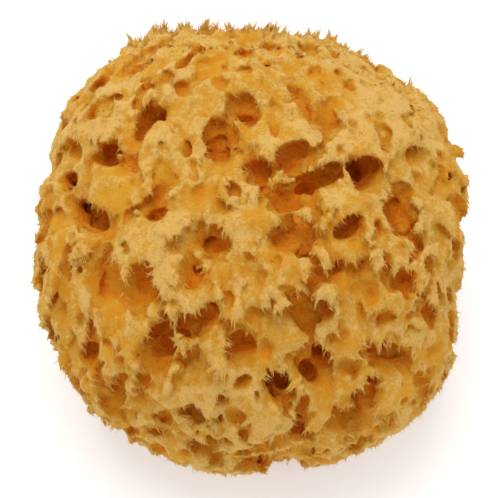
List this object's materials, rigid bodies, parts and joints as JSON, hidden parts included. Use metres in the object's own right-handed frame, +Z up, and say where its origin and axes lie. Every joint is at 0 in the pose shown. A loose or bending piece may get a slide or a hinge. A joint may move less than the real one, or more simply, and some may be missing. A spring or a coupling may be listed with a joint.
{
  "type": "sea sponge",
  "caption": "Natural bath sponge: a rounded, lumpy fibrous body with deep oscules and canals all over and a flat cut base it rests on.",
  "frame": {"origin": "middle of the sponge's footprint, on the flat base where it was cut from the rock", "axes": "+Z up out of the cut base, +Y to the back, +X to the right; the crown with the largest oscules faces -Y and up"},
  "size_m": [0.1331, 0.1411, 0.0975],
  "materials": {
    "sponge_fibre": "matte golden felt of fine fibres, amber to red-brown inside the pores"
  },
  "bodies": {
    "root": {"sponge": "sponge_fibre"}
  },
  "joints": []
}
